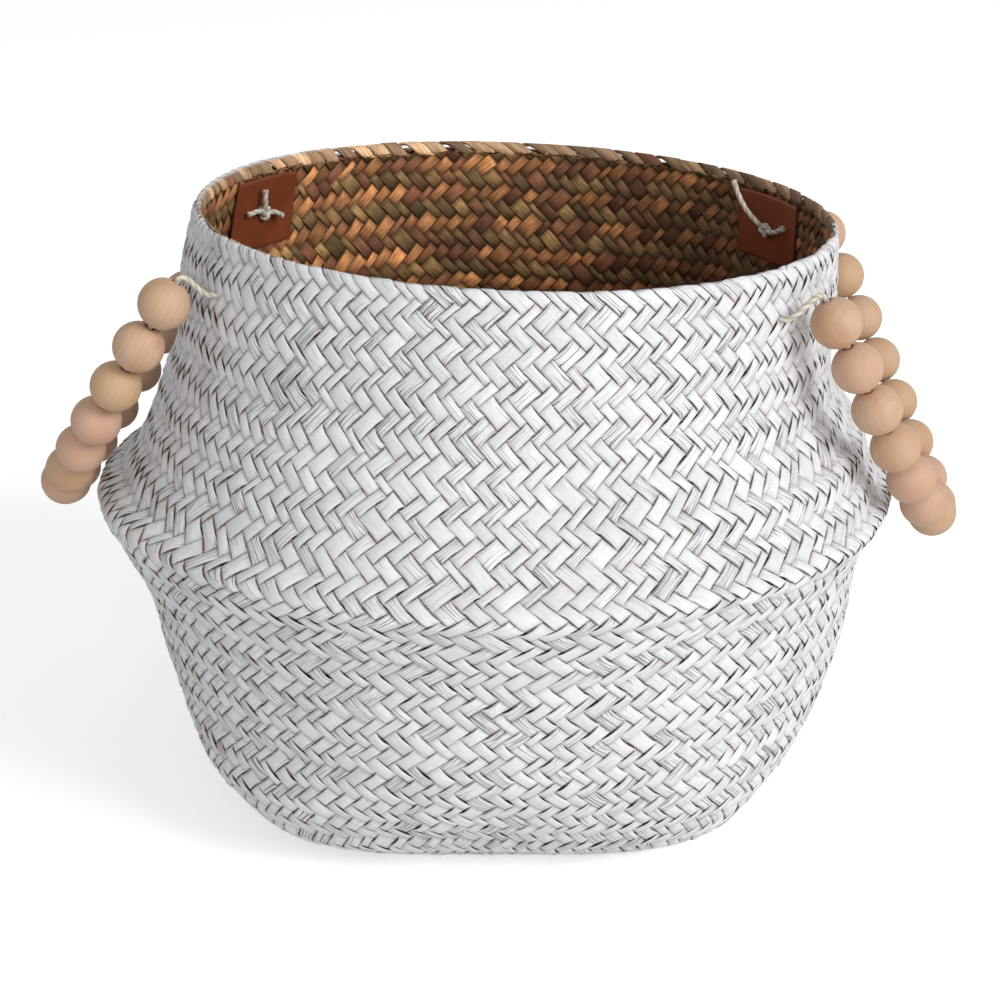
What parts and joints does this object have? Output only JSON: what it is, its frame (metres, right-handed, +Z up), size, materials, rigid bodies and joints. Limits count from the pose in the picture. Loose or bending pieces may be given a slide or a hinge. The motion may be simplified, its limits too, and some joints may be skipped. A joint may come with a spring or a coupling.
{
  "type": "belly basket",
  "caption": "Open woven basket with a rounded-square base, a wide belly fold, an upright neck and two hanging handles of wooden beads on cord.",
  "frame": {"origin": "middle of the base, on the face that the basket stands on", "axes": "+Z up through the mouth, +X through the right-hand handle, -Y towards the front of the picture"},
  "size_m": [0.4809, 0.4144, 0.3194],
  "materials": {
    "painted_sedge": "matt white wash over flat woven sedge, natural brown inside",
    "sedge_rim": "rolled woven edge, white wash worn through to brown",
    "leather": "smooth red-brown leather",
    "cotton_cord": "twisted cotton cord",
    "bead_wood": "pale turned wood, satin"
  },
  "bodies": {
    "basket": {"woven_base": "painted_sedge", "lower_wall": "painted_sedge", "belly_flare": "painted_sedge"},
    "neck": {"neck_wall": "painted_sedge", "rim_edge": "sedge_rim", "left_front_leather_patch": "leather", "left_rear_leather_patch": "leather", "right_front_leather_patch": "leather", "right_rear_leather_patch": "leather", "left_front_cord_end": "cotton_cord", "left_rear_cord_end": "cotton_cord", "right_front_cord_end": "cotton_cord", "right_rear_cord_end": "cotton_cord"},
    "left_handle": {"left_handle_cord": "cotton_cord"},
    "right_handle": {"right_handle_cord": "cotton_cord"},
    "left_bead_01": {"left_bead_01": "bead_wood"},
    "left_bead_02": {"left_bead_02": "bead_wood"},
    "left_bead_03": {"left_bead_03": "bead_wood"},
    "left_bead_04": {"left_bead_04": "bead_wood"},
    "left_bead_05": {"left_bead_05": "bead_wood"},
    "left_bead_06": {"left_bead_06": "bead_wood"},
    "left_bead_07": {"left_bead_07": "bead_wood"},
    "left_bead_08": {"left_bead_08": "bead_wood"},
    "left_bead_09": {"left_bead_09": "bead_wood"},
    "left_bead_10": {"left_bead_10": "bead_wood"},
    "left_bead_11": {"left_bead_11": "bead_wood"},
    "left_bead_12": {"left_bead_12": "bead_wood"},
    "left_bead_13": {"left_bead_13": "bead_wood"},
    "left_bead_14": {"left_bead_14": "bead_wood"},
    "left_bead_15": {"left_bead_15": "bead_wood"},
    "right_bead_01": {"right_bead_01": "bead_wood"},
    "right_bead_02": {"right_bead_02": "bead_wood"},
    "right_bead_03": {"right_bead_03": "bead_wood"},
    "right_bead_04": {"right_bead_04": "bead_wood"},
    "right_bead_05": {"right_bead_05": "bead_wood"},
    "right_bead_06": {"right_bead_06": "bead_wood"},
    "right_bead_07": {"right_bead_07": "bead_wood"},
    "right_bead_08": {"right_bead_08": "bead_wood"},
    "right_bead_09": {"right_bead_09": "bead_wood"},
    "right_bead_10": {"right_bead_10": "bead_wood"},
    "right_bead_11": {"right_bead_11": "bead_wood"},
    "right_bead_12": {"right_bead_12": "bead_wood"},
    "right_bead_13": {"right_bead_13": "bead_wood"},
    "right_bead_14": {"right_bead_14": "bead_wood"},
    "right_bead_15": {"right_bead_15": "bead_wood"}
  },
  "joints": [
    {"name": "left_handle_swing", "type": "hinge", "parent": "neck", "child": "left_handle", "pos_m": [-0.15434, 0.00754, 0.28752], "axis": [-0.0199, 0.9916, -0.1278], "range_deg": [0, 150], "deforming": ["left_front_cord_end", "left_rear_cord_end"]},
    {"name": "right_handle_swing", "type": "hinge", "parent": "neck", "child": "right_handle", "pos_m": [0.1627, -0.00545, 0.2925], "axis": [-0.0994, -0.995, -0.0019], "range_deg": [0, 150], "deforming": ["right_front_cord_end", "right_rear_cord_end"]},
    {"name": "neck_fold", "type": "slide", "parent": "basket", "child": "neck", "axis": [0, 0, 1], "range_m": [-0.02, 0], "stiffness_N_per_m": 1500, "springref_m": 0.006, "deforming": ["belly_flare"]},
    {"name": "spin_left_bead_01", "type": "hinge", "parent": "left_handle", "child": "left_bead_01", "pos_m": [-0.15911, -0.09166, 0.2895], "axis": [-0.5312, -0.0409, -0.8462], "continuous": true},
    {"name": "spin_left_bead_02", "type": "hinge", "parent": "left_handle", "child": "left_bead_02", "pos_m": [-0.17248, -0.09071, 0.26801], "axis": [-0.5213, 0.1156, -0.8455], "continuous": true},
    {"name": "spin_left_bead_03", "type": "hinge", "parent": "left_handle", "child": "left_bead_03", "pos_m": [-0.18543, -0.0858, 0.24681], "axis": [-0.4982, 0.271, -0.8236], "continuous": true},
    {"name": "spin_left_bead_04", "type": "hinge", "parent": "left_handle", "child": "left_bead_04", "pos_m": [-0.19762, -0.07697, 0.22645], "axis": [-0.4613, 0.4239, -0.7794], "continuous": true},
    {"name": "spin_left_bead_05", "type": "hinge", "parent": "left_handle", "child": "left_bead_05", "pos_m": [-0.20867, -0.06428, 0.20753], "axis": [-0.4084, 0.5745, -0.7093], "continuous": true},
    {"name": "spin_left_bead_06", "type": "hinge", "parent": "left_handle", "child": "left_bead_06", "pos_m": [-0.21811, -0.04778, 0.19082], "axis": [-0.3339, 0.7232, -0.6045], "continuous": true},
    {"name": "spin_left_bead_07", "type": "hinge", "parent": "left_handle", "child": "left_bead_07", "pos_m": [-0.22525, -0.02754, 0.17744], "axis": [-0.2266, 0.8656, -0.4465], "continuous": true},
    {"name": "spin_left_bead_08", "type": "hinge", "parent": "left_handle", "child": "left_bead_08", "pos_m": [-0.22904, -0.00402, 0.16909], "axis": [-0.0709, 0.9756, -0.2079], "continuous": true},
    {"name": "spin_left_bead_09", "type": "hinge", "parent": "left_handle", "child": "left_bead_09", "pos_m": [-0.22831, 0.02111, 0.16783], "axis": [0.128, 0.9857, 0.1094], "continuous": true},
    {"name": "spin_left_bead_10", "type": "hinge", "parent": "left_handle", "child": "left_bead_10", "pos_m": [-0.22272, 0.04474, 0.17449], "axis": [0.3084, 0.8581, 0.4105], "continuous": true},
    {"name": "spin_left_bead_11", "type": "hinge", "parent": "left_handle", "child": "left_bead_11", "pos_m": [-0.21341, 0.06431, 0.18748], "axis": [0.4205, 0.6736, 0.6078], "continuous": true},
    {"name": "spin_left_bead_12", "type": "hinge", "parent": "left_handle", "child": "left_bead_12", "pos_m": [-0.20198, 0.07934, 0.20433], "axis": [0.4783, 0.5081, 0.7163], "continuous": true},
    {"name": "spin_left_bead_13", "type": "hinge", "parent": "left_handle", "child": "left_bead_13", "pos_m": [-0.18946, 0.09055, 0.22328], "axis": [0.5075, 0.3745, 0.776], "continuous": true},
    {"name": "spin_left_bead_14", "type": "hinge", "parent": "left_handle", "child": "left_bead_14", "pos_m": [-0.17639, 0.09865, 0.24341], "axis": [0.5225, 0.264, 0.8107], "continuous": true},
    {"name": "spin_left_bead_15", "type": "hinge", "parent": "left_handle", "child": "left_bead_15", "pos_m": [-0.16304, 0.10411, 0.26425], "axis": [0.5297, 0.166, 0.8318], "continuous": true},
    {"name": "spin_right_bead_01", "type": "hinge", "parent": "right_handle", "child": "right_bead_01", "pos_m": [0.15936, -0.09497, 0.28096], "axis": [0.4422, 0.0054, -0.8969], "continuous": true},
    {"name": "spin_right_bead_02", "type": "hinge", "parent": "right_handle", "child": "right_bead_02", "pos_m": [0.17065, -0.09359, 0.25831], "axis": [0.4477, 0.1033, -0.8882], "continuous": true},
    {"name": "spin_right_bead_03", "type": "hinge", "parent": "right_handle", "child": "right_bead_03", "pos_m": [0.18202, -0.08961, 0.23603], "axis": [0.4488, 0.2106, -0.8685], "continuous": true},
    {"name": "spin_right_bead_04", "type": "hinge", "parent": "right_handle", "child": "right_bead_04", "pos_m": [0.19335, -0.08268, 0.21445], "axis": [0.4432, 0.335, -0.8315], "continuous": true},
    {"name": "spin_right_bead_05", "type": "hinge", "parent": "right_handle", "child": "right_bead_05", "pos_m": [0.20437, -0.07223, 0.19419], "axis": [0.4248, 0.4873, -0.763], "continuous": true},
    {"name": "spin_right_bead_06", "type": "hinge", "parent": "right_handle", "child": "right_bead_06", "pos_m": [0.21461, -0.05739, 0.17645], "axis": [0.3786, 0.6779, -0.6301], "continuous": true},
    {"name": "spin_right_bead_07", "type": "hinge", "parent": "right_handle", "child": "right_bead_07", "pos_m": [0.22294, -0.03733, 0.16363], "axis": [0.2725, 0.8875, -0.3717], "continuous": true},
    {"name": "spin_right_bead_08", "type": "hinge", "parent": "right_handle", "child": "right_bead_08", "pos_m": [0.22756, -0.01308, 0.15921], "axis": [0.0868, 0.9958, 0.0277], "continuous": true},
    {"name": "spin_right_bead_09", "type": "hinge", "parent": "right_handle", "child": "right_bead_09", "pos_m": [0.22735, 0.01144, 0.16466], "axis": [-0.104, 0.9115, 0.3979], "continuous": true},
    {"name": "spin_right_bead_10", "type": "hinge", "parent": "right_handle", "child": "right_bead_10", "pos_m": [0.22306, 0.03263, 0.17772], "axis": [-0.2321, 0.746, 0.6241], "continuous": true},
    {"name": "spin_right_bead_11", "type": "hinge", "parent": "right_handle", "child": "right_bead_11", "pos_m": [0.21616, 0.04958, 0.19519], "axis": [-0.3097, 0.5858, 0.7489], "continuous": true},
    {"name": "spin_right_bead_12", "type": "hinge", "parent": "right_handle", "child": "right_bead_12", "pos_m": [0.20766, 0.06269, 0.21513], "axis": [-0.359, 0.4454, 0.8202], "continuous": true},
    {"name": "spin_right_bead_13", "type": "hinge", "parent": "right_handle", "child": "right_bead_13", "pos_m": [0.19813, 0.07241, 0.23649], "axis": [-0.3922, 0.3205, 0.8622], "continuous": true},
    {"name": "spin_right_bead_14", "type": "hinge", "parent": "right_handle", "child": "right_bead_14", "pos_m": [0.18788, 0.07909, 0.25867], "axis": [-0.4155, 0.2056, 0.886], "continuous": true},
    {"name": "spin_right_bead_15", "type": "hinge", "parent": "right_handle", "child": "right_bead_15", "pos_m": [0.17713, 0.08292, 0.28129], "axis": [-0.4319, 0.0961, 0.8968], "continuous": true}
  ]
}
